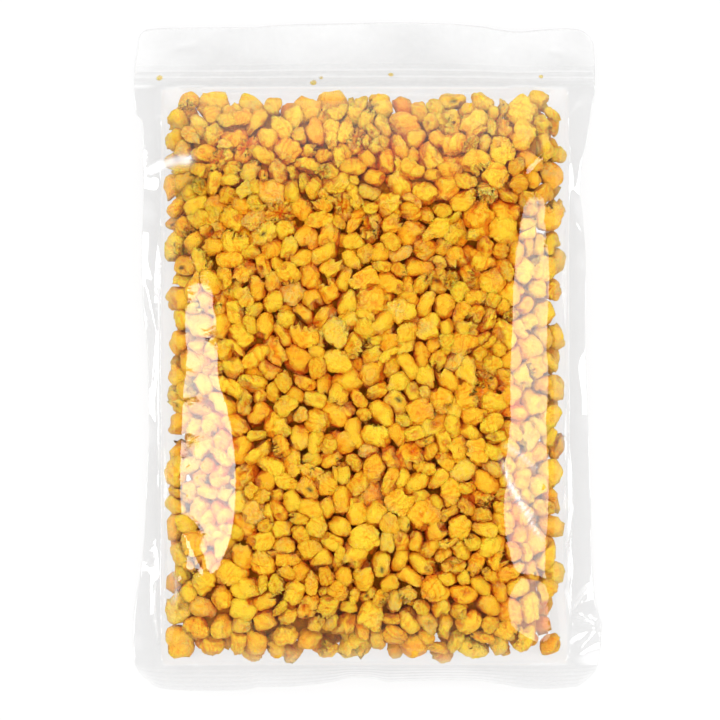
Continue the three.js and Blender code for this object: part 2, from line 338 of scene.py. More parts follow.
def back_height(x, y):
    """The back film, flat where the pouch rests and curving up to its seams."""
    share = np.maximum(np.abs(2 * across(x) - 1), np.abs(2 * along(y) - 1))
    return SEAM_HEIGHT * np.clip((share - BASE_SHARE) / (1 - BASE_SHARE), 0, 1) ** BEND


def margin_height(x, y, rippling=1.0):
    """The middle of the two sealed films, which droops and ripples towards the outer edge."""
    side, foot, header = side_share(x), foot_share(y), header_share(y)

    def wave(distance, start):
        return np.sin(math.tau * (distance - start) / RIPPLE["length"])

    return (
        SEAM_HEIGHT
        - DROOP["side"] * side**BEND
        - DROOP["foot"] * foot**BEND
        - DROOP["header"] * header**BEND
        + RIPPLE["side"] * side * wave(y, 10) * (1 - np.maximum(foot, header)) * rippling
        + RIPPLE["foot"] * foot * wave(x, -25)
        + RIPPLE["header"] * header**BEND * wave(x, 0)
    )


def waves(x, y, length, seed, count=9):
    """A smooth random height between about -1 and 1, made of waves of about one length."""
    rng = np.random.default_rng(seed)
    total = np.zeros(np.broadcast(x, y).shape)
    for _ in range(count):
        heading = rng.uniform(0, math.tau)
        pitch = math.tau / (length * rng.uniform(0.7, 1.6))
        total += np.sin(pitch * (x * math.cos(heading) + y * math.sin(heading)) + rng.uniform(0, math.tau))
    return total / math.sqrt(count)


# Everything is moved as the part is, to lie with the middle of its outline over the origin.
MIDDLE_OF_OUTLINE = np.array((-0.4, 0.6, 0))


def make_piece(name, points, faces, material, slot, **attributes):
    """A smooth mesh piece, from points in millimetres and faces with one number of corners."""
    mesh = bpy.data.meshes.new(name)
    corners = faces.shape[1]
    mesh.vertices.add(len(points))
    mesh.vertices.foreach_set("co", ((points - MIDDLE_OF_OUTLINE) * MM).ravel())
    mesh.loops.add(faces.size)
    mesh.loops.foreach_set("vertex_index", faces.ravel().astype(np.int32))
    mesh.polygons.add(len(faces))
    mesh.polygons.foreach_set("loop_start", np.arange(0, faces.size, corners, dtype=np.int32))
    mesh.polygons.foreach_set("use_smooth", np.ones(len(faces), bool))
    mesh.update(calc_edges=True)
    for key, values in attributes.items():
        is_vector = values.ndim == 2
        attribute = mesh.attributes.new(key, "FLOAT_VECTOR" if is_vector else "FLOAT", "POINT")
        attribute.data.foreach_set("vector" if is_vector else "value", values.astype(np.float32).ravel())
    mesh.materials.append(material)
    piece = add_object(name, mesh)
    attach(piece, BODY)
    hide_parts(NODE)


# Materials.
class Nodes:
    """A short way to build a node tree."""

    def __init__(self, tree):
        self.tree = tree
        tree.nodes.clear()

    def add(self, kind, settings=None, **inputs):
        node = self.tree.nodes.new(kind)
        for key, value in (settings or {}).items():
            setattr(node, key, value)
        for key, value in inputs.items():
            name = key.replace("_", " ").strip()
            socket = node.inputs[int(name)] if name.isdigit() else node.inputs[name]
            if isinstance(value, bpy.types.NodeSocket):
                self.tree.links.new(value, socket)
            else:
                socket.default_value = value
        return node

    def attribute(self, name, output="Fac"):
        return self.add("ShaderNodeAttribute", {"attribute_name": name}).outputs[output]

    def maths(self, operation, a, b=0.0, clamp=False):
        return self.add("ShaderNodeMath", {"operation": operation, "use_clamp": clamp}, _0=a, _1=b).outputs[0]

    def noise(self, coordinates, scale, detail=2.0, roughness=0.5, distortion=0.0):
        return self.add(
            "ShaderNodeTexNoise", Vector=coordinates, Scale=scale, Detail=detail, Roughness=roughness,
            Distortion=distortion,
        ).outputs[0]

    def between(self, value, low, high, to_low=0.0, to_high=1.0):
        limits = {"From_Min": low, "From_Max": high, "To_Min": to_low, "To_Max": to_high}
        return self.add("ShaderNodeMapRange", Value=value, **limits).outputs[0]

    def blend(self, share, first, second):
        first, second = (v if isinstance(v, bpy.types.NodeSocket) else (*v, 1) for v in (first, second))
        return self.add("ShaderNodeMix", {"data_type": "RGBA"}, _0=share, _6=first, _7=second).outputs[2]

    def mix_shaders(self, share, first, second):
        return self.add("ShaderNodeMixShader", _0=share, _1=first, _2=second).outputs[0]


def new_material(name):
    material = bpy.data.materials.new(name)
    material.use_nodes = True
    return material, Nodes(material.node_tree)


def corn_material(name, deep, mid, bright, pale):
    """Dry sweetcorn: blotchy yellow, paler where the germ and the torn rim show, and finely wrinkled."""
    material, nodes = new_material(name)
    grain = nodes.attribute("grain", "Vector")
    # tone is each kernel's own tone less its painted shade, with a painted highlight on its sharp edges.
    tone = nodes.attribute("tone")
    paleness = nodes.attribute("pale")
    darkness = nodes.attribute("dark")
    blotches = nodes.noise(grain, 0.35, 3.0, 0.55)
    wrinkles = nodes.noise(grain, 0.9, 4.0, 0.6, 0.6)
    share = nodes.maths("ADD", tone, nodes.between(blotches, 0.3, 0.7, -0.15, 0.15))
    colour = nodes.blend(nodes.between(share, 0, 0.5), deep, mid)
    colour = nodes.blend(nodes.between(share, 0.5, 1), colour, bright)
    # Painted shade: deeper towards mid where the wrinkle noise, and so the bump, is low.
    colour = nodes.blend(nodes.between(wrinkles, 0.42, 0.25, 0.0, 0.5), colour, mid)
    streaks = nodes.between(wrinkles, 0.35, 0.62)
    flecks = nodes.between(nodes.noise(grain, 0.8, 3.0, 0.6), 0.6, 0.72, 0.0, 0.45)
    colour = nodes.blend(flecks, colour, pale)
    colour = nodes.blend(nodes.maths("MULTIPLY", paleness, streaks, clamp=True), colour, pale)
    colour = nodes.blend(darkness, colour, DARK_TIP)
    height = nodes.maths("ADD", nodes.maths("MULTIPLY", wrinkles, 0.8), nodes.noise(grain, 1.6, 3.0, 0.65))
    bump = nodes.add("ShaderNodeBump", Strength=1.0, Distance=1.6 * MM, Height=height)
    shader = nodes.add(
        "ShaderNodeBsdfPrincipled", Base_Color=colour, Normal=bump.outputs[0], IOR=1.45,
        Roughness=nodes.between(wrinkles, 0.3, 0.7, 0.42, 0.62),
        Subsurface_Weight=0.35, Subsurface_Radius=(1.0, 0.3, 0.05), Subsurface_Scale=2.2 * MM,
    )
    nodes.add("ShaderNodeOutputMaterial", Surface=shader.outputs[0])
    return material


def film_material():
    """Clear film: see-through, with the reflections of its two faces, milky where it is sealed, and white
    along some folds as painted glints.
    """
    material, nodes = new_material("clear_film")
    milk = nodes.attribute("milk")
    place = nodes.add("ShaderNodeTexCoord").outputs["Object"]
    crinkle = nodes.noise(place, 110, 3.0, 0.55, 0.4)
    bump = nodes.add("ShaderNodeBump", Strength=0.35, Distance=0.3 * MM, Height=crinkle).outputs[0]
    clear = nodes.add("ShaderNodeBsdfTransparent", Color=(0.993, 0.993, 0.993, 1)).outputs[0]
    # Milk above 0.3 comes only from the folds' painted glints, which get the brighter tone.
    milky = nodes.add(
        "ShaderNodeBsdfPrincipled", Roughness=0.4, Normal=bump,
        Base_Color=nodes.between(milk, 0.3, 0.7, *MILKY_TONES),
    ).outputs[0]
    gloss = nodes.add(
        "ShaderNodeBsdfPrincipled", Base_Color=(1, 1, 1, 1), Metallic=1.0, Roughness=0.06, Normal=bump,
    ).outputs[0]
    # A face sends back a little light seen square on, and more the nearer it is to edge on.
    grazing = nodes.add("ShaderNodeLayerWeight", Blend=0.5, Normal=bump).outputs["Facing"]
    reflection = nodes.maths("MULTIPLY", nodes.maths("POWER", grazing, 5.0), 1 - FACE_ON)
    both_faces = nodes.maths("MULTIPLY", nodes.maths("ADD", reflection, FACE_ON), BOTH_FACES, clamp=True)
    patchy = nodes.between(nodes.noise(place, 60, 3.0), 0.3, 0.7, 0.5, 1.0)
    cloud = nodes.maths("MULTIPLY", milk, patchy, clamp=True)
    sheet = nodes.mix_shaders(cloud, clear, milky)
    nodes.add("ShaderNodeOutputMaterial", Surface=nodes.mix_shaders(both_faces, sheet, gloss))
    return material


def floor_material():
    material, nodes = new_material("pale_floor")
    place = nodes.add("ShaderNodeTexCoord").outputs["Object"]
    colour = nodes.blend(nodes.noise(place, 2.0), (0.14, 0.14, 0.14), (0.15, 0.15, 0.15))
    shader = nodes.add(
        "ShaderNodeBsdfPrincipled", Base_Color=colour, Roughness=0.9, Specular_IOR_Level=0.0,
        Emission_Color=(1, 1, 1, 1), Emission_Strength=FLOOR_GLOW,
    )
    nodes.add("ShaderNodeOutputMaterial", Surface=shader.outputs[0])
    return material


# Kernel shapes.
def ball(cells):
    """Directions and quads of a cube blown up into a ball, each face split into cells by cells."""
    steps = np.tan(np.linspace(-1, 1, cells + 1) * math.pi / 4)
    places, quads = {}, []
    for axis in range(3):
        for side in (-1, 1):
            for i in range(cells):
                for j in range(cells):
                    quad = []
                    for di, dj in ((0, 0), (1, 0), (1, 1), (0, 1)):
                        place = [0.0, 0.0, 0.0]
                        place[axis] = float(side)
                        place[(axis + 1) % 3] = round(steps[i + di], 6)
                        place[(axis + 2) % 3] = round(steps[j + dj], 6)
                        quad.append(places.setdefault(tuple(place), len(places)))
                    quads.append(quad if side > 0 else quad[::-1])
    directions = np.array(list(places))
    return directions / np.linalg.norm(directions, axis=1, keepdims=True), np.array(quads)


def ragged(angle, rng):
    """An uneven line round a circle, mostly between -1 and 1."""
    return sum(0.38 * np.sin(k * angle + rng.uniform(0, math.tau)) for k in (2, 3, 5, 8, 9, 11))


def near(directions, heading, width):
    """1 in one direction from a kernel's middle, and 0 away from it."""
    return np.exp(-np.arccos(np.clip(directions @ heading, -1, 1)) ** 2 / (2 * width**2))


def random_heading(rng):
    heading = rng.normal(size=3)
    return heading / np.linalg.norm(heading)


def outward(points, quads):
    """The unit vector that points out of the surface at each point."""
    normal = np.zeros_like(points)
    corners = points[quads]
    face_normal = np.cross(corners[:, 2] - corners[:, 0], corners[:, 3] - corners[:, 1])
    for corner in range(4):
        np.add.at(normal, quads[:, corner], face_normal)
    return normal / np.maximum(np.linalg.norm(normal, axis=1, keepdims=True), 1e-9)


def curvature(points, quads):
    """How sharply the surface bends at each point, for each millimetre. It is below zero in a crease."""
    total = np.zeros_like(points)
    steps = np.zeros(len(points))
    touching = np.zeros(len(points))
    for way in (1, -1):
        beside = np.roll(quads, way, 1)
        np.add.at(total, quads, points[beside])
        np.add.at(steps, quads, ((points[quads] - points[beside]) ** 2).sum(-1))
        np.add.at(touching, quads, 1)
    stands_out = ((points - total / touching[:, None]) * outward(points, quads)).sum(1)
    return 2 * stands_out / (steps / touching)


def kernel_shape(directions, quads, kind, seed):
    """One kernel's surface, with how pale and how dark each point is, and its painted crease shade and edge
    highlight.
    """
    rng = np.random.default_rng(seed)
    half = np.array(kind.half) * rng.uniform(0.87, 1.13, 3)
    power = rng.uniform(2.0, 2.8)
    reach = (np.abs(directions / half) ** power).sum(1) ** (-1 / power)
    points = directions * reach[:, None]
    tall = points[:, 2] / half[2]
    points[:, :2] *= (kind.foot + (1 - kind.foot) * smoothstep(0.6 + 0.6 * tall))[:, None]

    # It was pressed flat against its neighbours on the cob, and it shrank as it dried.
    first = rng.uniform(0, math.tau)
    headings = [
        np.array((math.cos(first + turn), math.sin(first + turn), rng.uniform(-0.35, 0.35)))
        for turn in PRESSED_SIDES
    ]
    headings.append(np.array((rng.uniform(-0.4, 0.4), rng.uniform(-0.4, 0.4), 1)))
    for heading in headings:
        heading = heading / np.linalg.norm(heading)
        limit = rng.uniform(0.76, 1.05) * np.linalg.norm(half * heading)
        points -= 0.6 * np.maximum(points @ heading - limit, 0)[:, None] * heading
    points[:, 0] += rng.uniform(-0.2, 0.2) * points[:, 2]
    points[:, 1] += rng.uniform(-0.15, 0.15) * points[:, 2]

    front = smoothstep(directions[:, 1] * 1.5)
    groove = front * np.exp(-((points[:, 0] / (0.4 * half[0])) ** 2) - ((tall + 0.2) / 0.65) ** 2)
    points[:, 1] -= kind.groove * rng.uniform(0.5, 1.3) * groove

    angle = np.arctan2(points[:, 1], points[:, 0])
    wide = np.hypot(points[:, 0] / half[0], points[:, 1] / half[1])
    tip = smoothstep((-tall - 0.15) / 0.5)
    jagged = ragged(angle, rng)
    points[:, 2] += kind.torn * tip * (np.exp(-((wide / 0.55) ** 2)) + 0.45 * jagged)
    points[:, :2] *= (1 + 0.14 * tip * jagged)[:, None]
    rim = tip * smoothstep((wide - 0.35) / 0.3)
    points += (0.1 + 0.07 * kind.torn) * rim[:, None] * rng.normal(size=points.shape)

    bitten = 0
    for depth in (kind.notch, 0.4 * kind.notch):
        turn = rng.uniform(0, math.tau)
        heading = np.array((math.cos(turn), rng.uniform(-0.3, 0.3), math.sin(turn)))
        away = np.arccos(np.clip(directions @ (heading / np.linalg.norm(heading)), -1, 1))
        width = rng.uniform(0.35, 0.62)
        bite = smoothstep((width - away) / (0.6 * width))
        points *= (1 - depth * bite)[:, None]
        bitten = bitten + depth * bite
    for _ in range(DENTS):
        dent = near(directions, random_heading(rng), rng.uniform(0.2, 0.45))
        points *= (1 - rng.uniform(0.03, 0.2) * dent)[:, None]
    for pitch, height in WRINKLES:
        sway = 1.3 * np.sin(points @ random_heading(rng) * pitch * 0.9 + rng.uniform(0, math.tau))
        ridge = np.abs(np.sin(points @ random_heading(rng) * pitch + sway + rng.uniform(0, math.pi)))
        points += directions * (height * (ridge - 0.6))[:, None]

    bowl = (points[:, 0] / half[0]) ** 2 + 0.6 * (points[:, 2] / half[2]) ** 2
    points[:, 1] += kind.curl * (bowl - 0.5)

    # Painted shade where the surface bends in, and a painted highlight where it bends out sharply.
    bend = curvature(points, quads)
    edge = smoothstep((bend - 0.45) / 0.7)
    crease = smoothstep((0.1 - bend) / 0.5)
    germ = kind.pale * rng.uniform(0.0, 1.2) * groove
    pale = germ + 0.7 * bitten + 0.35 * rim
    has_dark_tip = rng.uniform() < DARK_TIP_SHARE
    dark = 1.5 * tip * np.exp(-((wide / 0.18) ** 2)) * has_dark_tip
    return points, np.clip(pale, 0, 1), np.clip(dark, 0, 1), crease - 0.5 * edge


def kernel_spheres(kind):
    """Five spheres that stand in for a kernel while it is packed."""
    across_half, thick_half, tall_half = kind.half
    radius = 0.93 * thick_half
    x = max(0.2, across_half - radius) * 0.9
    z = max(0.2, tall_half - radius) * 0.9
    places = [(0, 0, 0), (-x, 0, z), (x, 0, z), (-x * kind.foot, 0, -z), (x * kind.foot, 0, -z)]
    return np.array(places), np.full(len(places), radius)


# Packing.
def random_turns(count, rng):
    """Rotation matrices, evenly spread over all directions."""
    w, x, y, z = rng.normal(size=(count, 4)).T
    size = np.sqrt(w * w + x * x + y * y + z * z)
    w, x, y, z = w / size, x / size, y / size, z / size
    return np.array((
        (1 - 2 * (y * y + z * z), 2 * (x * y - z * w), 2 * (x * z + y * w)),
        (2 * (x * y + z * w), 1 - 2 * (x * x + z * z), 2 * (y * z - x * w)),
        (2 * (x * z - y * w), 2 * (y * z + x * w), 1 - 2 * (x * x + y * y)),
    )).transpose(2, 0, 1)


def turned_by(spin):
    """Rotation matrices for small turns, each given as an axis times an angle."""
    angle = np.linalg.norm(spin, axis=1)
    x, y, z = (spin / np.maximum(angle, 1e-9)[:, None]).T
    s, c = np.sin(angle), np.cos(angle)
    k = 1 - c
    return np.array((
        (c + x * x * k, x * y * k - z * s, x * z * k + y * s),
        (y * x * k + z * s, c + y * y * k, y * z * k - x * s),
        (z * x * k - y * s, z * y * k + x * s, c + z * z * k),
    )).transpose(2, 0, 1)


def wall(height, x, y, facing):
    """A film's height and the unit vector that points into the pocket from it."""
    step = 0.5
    slope_x = (height(x + step, y) - height(x - step, y)) / (2 * step)
    slope_y = (height(x, y + step) - height(x, y - step)) / (2 * step)
    inward = np.stack((slope_x, slope_y, -np.ones_like(x)), -1) * facing
    return height(x, y), inward / np.linalg.norm(inward, axis=-1, keepdims=True)


def core_half(x, y):
    """Half the depth of the core, which fills the middle where no kernel can be seen."""
    return CORE_HALF * smoothstep((from_seams(x, y) - CORE_INSET - 2 * waves(x, y, 12, 6)) / CORE_SLOPE)


def uneven_seam(start, facing, seed):
    """How far towards one seam the kernels reach, as a function of the distance along it."""
    return lambda distance: start + facing * UNEVEN_SEAM * waves(distance, 0, 22, seed)


def in_pocket(x, y):
    """Moves places that lie past the seams to just inside them."""
    return np.clip(x, LEFT + 0.5, RIGHT - 0.5), np.clip(y, FOOT + 0.5, MOUTH - 0.5)


def near_pairs(centre, reach):
    """Pairs of kernels close enough to touch before the pairs are next looked up."""
    square = (centre**2).sum(1)
    apart = square[:, None] + square[None] - 2 * centre @ centre.T
    close = apart < (reach[:, None] + reach[None]) ** 2
    return np.argwhere(np.triu(close, 1))


def pack_kernels():
    """Every kernel's kind, shape, size, place and turn, with the side of the core that it lies on."""
    rng = np.random.default_rng(SEED)
    count = FRONT_KERNELS + BACK_KERNELS
    kind = rng.choice(len(KINDS), count, p=[k.share for k in KINDS])
    size = SIZES["largest"] - SIZES["range"] * rng.uniform(0, 1, count) ** SIZES["leaning"]
    side = np.where(np.arange(count) < FRONT_KERNELS, 1, -1)
    models = [kernel_spheres(k) for k in KINDS]
    arms = np.array([models[k][0] for k in kind]) * size[:, None, None]
    radii = np.array([models[k][1] for k in kind]) * size[:, None]
    full_reach = np.linalg.norm(arms, axis=2).max(1) + radii[:, 0]

    centre = np.empty((count, 3))
    centre[:, 0] = rng.uniform(LEFT + 6, RIGHT - 6, count)
    centre[:, 1] = rng.uniform(FOOT + 6, MOUTH - 6, count)
    top = front_height(centre[:, 0], centre[:, 1]) - 3
    low = back_height(centre[:, 0], centre[:, 1]) + 3
    share = rng.uniform(0, 1, count)
    front_low = np.minimum(CORE_LEVEL + CORE_HALF + 2, top)
    back_top = np.maximum(CORE_LEVEL - CORE_HALF - 2, low)
    centre[:, 2] = np.where(side > 0, front_low + share * (top - front_low), low + share * (back_top - low))
    turn = random_turns(count, rng)
    seams = [
        (axis, facing, uneven_seam(seam + facing * room, facing, 30 + k))
        for k, (axis, facing, seam, room) in enumerate(SEAM_ROOM)
    ]

    for step in range(PACK_STEPS):
        grown = FIRST_SIZE + (1 - FIRST_SIZE) * min(1, step / GROW_STEPS)
        if step % 8 == 0:
            pairs = near_pairs(centre, full_reach * min(1, grown + 0.05) + 0.6)
        calm = 1 - min(1, step / GROW_STEPS)
        centre += rng.normal(size=centre.shape) * SHAKE * calm
        centre[:, 2] += side * DRIFT
        arm = np.einsum("bij,bsj->bsi", turn, arms) * grown
        radius = radii * grown
        spheres = centre[:, None] + arm

        a, b = pairs.T
        gap = spheres[a][:, :, None] - spheres[b][:, None]
        distance = np.sqrt((gap**2).sum(-1))
        overlap = radius[a][:, :, None] + radius[b][:, None] - distance
        pair, of_a, of_b = np.nonzero(overlap > 0)
        depth = overlap[pair, of_a, of_b] / 2
        push = gap[pair, of_a, of_b] * (depth / np.maximum(distance[pair, of_a, of_b], 1e-6))[:, None]
        forces = [(a[pair], arm[a[pair], of_a], push), (b[pair], arm[b[pair], of_b], -push)]

        x, y, z = spheres.transpose(2, 0, 1)
        x, y = in_pocket(x, y)
        for height, facing in ((front_height, 1), (back_height, -1)):
            level, inward = wall(height, x, y, facing)
            room = (z - level) * inward[..., 2] - radius - FILM_ROOM * smoothstep(from_seams(x, y) / 25)
            body, sphere = np.nonzero(room < 0)
            push = -room[body, sphere][:, None] * inward[body, sphere]
            forces.append((body, arm[body, sphere], push))
        for axis, facing, seam in seams:
            other = spheres[:, :, 1 - axis]
            room = (spheres[:, :, axis] - seam(other)) * facing - radius
            body, sphere = np.nonzero(room < 0)
            push = np.zeros((len(body), 3))
            push[:, axis] = -room[body, sphere] * facing
            forces.append((body, arm[body, sphere], push))
        into_core = core_half(x, y) + radius - (z - CORE_LEVEL) * side[:, None]
        body, sphere = np.nonzero((into_core > 0) & (core_half(x, y) > 0))
        push = np.zeros((len(body), 3))
        push[:, 2] = into_core[body, sphere] * side[body]
        forces.append((body, arm[body, sphere], push))

        who, lever, shove = (np.concatenate(column) for column in zip(*forces))
        touches = np.maximum(np.bincount(who, minlength=count), 1)
        move, spin = (
            np.stack([np.bincount(who, effect[:, k], count) for k in range(3)], 1) / touches[:, None]
            for effect in (shove, np.cross(lever, shove))
        )
        centre += PUSH * move
        turn = turned_by(spin * TWIST / (full_reach**2 * INERTIA)[:, None]) @ turn
    shape = rng.integers(0, VARIANTS, count)
    return kind, shape, size, centre, turn, side


def held_back(placed, height, facing):
    """How far each kernel has to move in from one film to lie wholly between the two."""
    x, y, z = placed.transpose(2, 0, 1)
    x, y = in_pocket(x, y)
    level, inward = wall(height, x, y, facing)
    excess = KERNEL_CLEARANCE - (z - level) * inward[..., 2]
    worst = excess.argmax(1)
    each = np.arange(len(placed))
    return (np.clip(excess[each, worst], 0, MOST_HELD_BACK)[:, None] * inward[each, worst])[:, None]


def build_kernels():
    """One piece for each kind of kernel. Returns the height that they hold the film at, over its grid."""
    kind, shape, size, centre, turn, side = pack_kernels()
    rng = np.random.default_rng(SEED + 1)
    tone = rng.uniform(0, 1, len(kind))
    dull = DULLNESS * (rng.uniform(0, 1, len(kind)) < DULL_SHARE)
    under_film = front_height(centre[:, 0], centre[:, 1]) - centre[:, 2]
    over_base = centre[:, 2] - back_height(centre[:, 0], centre[:, 1])
    cells = np.where(
        (side > 0) & (under_film < DEEPEST["fine"]), FINE,
        np.where((side > 0) & (under_film < DEEPEST["middle"]) | (over_base < CLOSE_TO_BASE), MIDDLE, COARSE),
    )
    balls = {n: ball(n) for n in (FINE, MIDDLE, COARSE)}
    heaps, in_front = [], []
    for k, made in enumerate(KINDS):
        heap = {"points": [], "faces": [], "tone": [], "pale": [], "dark": [], "grain": []}
        start = 0
        for variant in range(VARIANTS):
            for n in balls:
                chosen = np.flatnonzero((kind == k) & (shape == variant) & (cells == n))
                if not len(chosen):
                    continue
                directions, quads = balls[n]
                local, pale, dark, crease = kernel_shape(directions, quads, made, 100 * k + variant)
                placed = np.einsum("bij,vj->bvi", turn[chosen], local) * size[chosen, None, None]
                placed += centre[chosen, None]
                for _ in range(HOLD_ROUNDS):
                    placed += held_back(placed, back_height, -1)
                    placed += held_back(placed, front_height, 1)
                # Painted shade on a kernel's sides, which face away from its film, less near the seams.
                up = np.einsum("bj,vj->bv", turn[chosen, 2] * side[chosen, None], outward(local, quads))
                inside = smoothstep(from_seams(placed[..., 0], placed[..., 1]) / CLEAR_OF_SEAM)
                sides = SIDE_SHADE * inside * smoothstep((FACES_UP - up) / FACES_UP)
                v = len(local)
                offsets = start + v * np.arange(len(chosen))
                start += v * len(chosen)
                shift = rng.uniform(-500, 500, (len(chosen), 3))
                heap["points"].append(placed.reshape(-1, 3))
                heap["faces"].append((quads[None] + offsets[:, None, None]).reshape(-1, 4))
                # The kernel's own tone, less painted shade in its creases and plus a painted highlight on its
                # sharp edges.
                own = LIGHTEST - TONES * tone[chosen, None] - CREASE_SHADE * crease[None]
                heap["tone"].append((own - sides).ravel())
                heap["pale"].append(np.clip(pale[None] + dull[chosen, None], 0, 1).ravel())
                heap["dark"].append(np.tile(dark, len(chosen)))
                heap["grain"].append((local[None] + shift[:, None]).reshape(-1, 3))
                if n == FINE:
                    in_front.append(placed.reshape(-1, 3))
                    in_front.append(placed[:, quads].mean(2).reshape(-1, 3))
        heaps.append({key: np.concatenate(values) for key, values in heap.items()})

    line_x, line_y, pocket_x, pocket_y = film_lines()
    grid_x, grid_y = line_x[pocket_x], line_y[pocket_y]
    held = lowest_film(np.concatenate(in_front), grid_x, grid_y)
    # Painted shade: the colour deepens with a point's depth under the heap's surface, and less near the
    # seams.
    start = over_grid(front_height, grid_x, grid_y) - SHADE["surface"]
    surface = blurred(widened(np.maximum(held, start)), 3)
    for made, heap in zip(KINDS, heaps):
        x, y, z = heap["points"].T
        i, j = nearest_cells(x, y, grid_x, grid_y)
        depth = np.minimum(surface[i, j] - z, z - back_height(x, y) + SHADE["surface"])
        inside = smoothstep((from_seams(x, y) - CLEAR_OF_SEAM) / SEAM_FADE)
        most = SHADE["most"] * (SHADE["at_seam"] + (1 - SHADE["at_seam"]) * inside)
        heap["tone"] -= most * smoothstep((depth - SHADE["from"]) / SHADE["over"])
        make_piece("kernels_" + made.name, material=CORN[made.name], slot="sweetcorn", **heap)
    return held


def build_core():
    """The middle of the heap, bumpy as kernels are, where no single kernel can be made out."""
    inset = CORE_INSET - 3
    xs = np.linspace(LEFT + inset, RIGHT - inset, 60)
    ys = np.linspace(FOOT + inset, MOUTH - inset, 90)
    x, y = np.meshgrid(xs, ys, indexing="ij")
    bump = 1.2 * waves(x, y, 7, 5)
    half = core_half(x, y) + 0.05
    middle = CORE_LEVEL + bump * half / CORE_HALF
    points, faces = closed_sheets(x, y, middle + half, middle - half)
    level = np.zeros(len(points))
    # Its tone is painted shade, set deep for the middle of the heap.
    make_piece("kernel_core", points, faces, CORN["core"], "sweetcorn",
               tone=level + CORE_TONE, pale=level, dark=level, grain=points)


def build_crumbs():
    """A few flat crumbs of corn, caught between the films beside the zip."""
    directions, quads = ball(4)
    points, faces = [], []
    for k, (x, y, size) in enumerate(CRUMBS):
        rng = np.random.default_rng(50 + k)
        lump = near(directions, random_heading(rng), 0.5)
        dent = near(directions, random_heading(rng), 0.6)
        uneven = 1 + 0.3 * lump - 0.3 * dent
        local = directions * uneven[:, None] * (size, 0.8 * size, 0.25)
        points.append(local + (x, y, margin_height(x, y)))
        faces.append(quads + k * len(directions))
    level = np.zeros(len(CRUMBS) * len(directions))
    points = np.concatenate(points)
    make_piece("zip_crumbs", points, np.concatenate(faces), CORN["plump"], "sweetcorn",
               tone=level + LIGHTEST, pale=level + 0.4, dark=level, grain=points)


def closed_sheets(x, y, top, bottom):
    """Points and quads of a closed body between two grids of heights."""
    rows, columns = x.shape
    points = np.concatenate([np.stack((x, y, z), -1).reshape(-1, 3) for z in (top, bottom)])
    index = np.arange(rows * columns).reshape(rows, columns)
    quads = np.stack((index[:-1, :-1], index[1:, :-1], index[1:, 1:], index[:-1, 1:]), -1).reshape(-1, 4)
    rim = np.concatenate((index[:-1, 0], index[-1, :-1], index[:0:-1, -1], index[0, :0:-1]))
    after = np.roll(rim, -1)
    half = rows * columns
    sides = np.stack((rim + half, after + half, after, rim), -1)
    return points, np.concatenate((quads, quads[:, ::-1] + half, sides))


# The film.
def film_lines():
    """The nominal grid that both films are built on."""
    columns = round((RIGHT - LEFT) / FILM_STEP)
    rows = round((MOUTH - FOOT) / FILM_STEP)
    pocket_x = np.linspace(LEFT, RIGHT, columns + 1)
    pocket_y = np.linspace(FOOT, MOUTH, rows + 1)
    side = np.linspace(0, SIDE_WIDTH, 17)[1:]
    foot = np.linspace(0, FOOT_WIDTH, 27)[1:]
    ridges = np.concatenate([np.linspace(middle - 1, middle + 1, 9) for middle in ZIP_RIDGES])
    header = np.concatenate((
        (0.6, 1.2, 1.9), ridges, (7.8, WELD_LINE - 0.3, WELD_LINE, WELD_LINE + 0.3),
        np.arange(10.3, HEADER_WIDTH, 1.2), (HEADER_WIDTH,),
    ))
    x = np.concatenate((LEFT - side[::-1], pocket_x, RIGHT + side))
    y = np.concatenate((FOOT - foot[::-1], pocket_y, MOUTH + header))
    return x, y, slice(len(side), len(side) + columns + 1), slice(len(foot), len(foot) + rows + 1)


def over_grid(height, grid_x, grid_y):
    return height(*np.meshgrid(grid_x, grid_y, indexing="ij"))


def nearest_cells(x, y, grid_x, grid_y):
    """The grid's row and column nearest to each point."""
    return tuple(
        np.clip(np.round((at - grid[0]) / (grid[1] - grid[0])).astype(int), 0, len(grid) - 1)
        for at, grid in ((x, grid_x), (y, grid_y))
    )


def lowest_film(points, grid_x, grid_y):
    """The height that the kernels under each point of the pocket's grid hold the film at."""
    stands_out = points[:, 2] - front_height(points[:, 0], points[:, 1])
    held = np.full((len(grid_x), len(grid_y)), -1e3)
    np.maximum.at(held, nearest_cells(points[:, 0], points[:, 1], grid_x, grid_y), stands_out)
    return widened(held) + KERNEL_CLEARANCE + over_grid(front_height, grid_x, grid_y)


def mean_of_neighbours(field):
    return (field[2:, 1:-1] + field[:-2, 1:-1] + field[1:-1, 2:] + field[1:-1, :-2]) / 4


def blurred(field, rounds):
    """Evens out a grid of heights, with its edges fixed."""
    field = field.copy()
    for _ in range(rounds):
        field[1:-1, 1:-1] += 0.8 * (mean_of_neighbours(field) - field[1:-1, 1:-1])
    return field


def widened(field):
    """Spreads each height of a grid over its neighbours."""
    for _ in range(2):
        wide = field.copy()
        wide[1:] = np.maximum(wide[1:], field[:-1])
        wide[:-1] = np.maximum(wide[:-1], field[1:])
        field = wide.T
    return field


def set_rim(field, to):
    """Gives a grid of heights the outermost rows and columns of another."""
    field[[0, -1]] = to[[0, -1]]
    field[:, [0, -1]] = to[:, [0, -1]]


def drape(start, held):
    """A stiff film over the kernels. It dips a little where a membrane would, and it clears every kernel."""
    membrane = np.maximum(start, held)
    set_rim(membrane, start)
    for _ in range(FILM_ROUNDS):
        membrane[1:-1, 1:-1] = np.maximum(mean_of_neighbours(membrane) - FILM_SAG, held[1:-1, 1:-1])
    film = blurred(start + FILM_DIP * (blurred(membrane, 6) - start), 6)
    for _ in range(LIFT["rounds"]):
        film = film + LIFT["share"] * blurred(widened(widened(np.maximum(held - film, 0))), STIFFNESS)
    return film


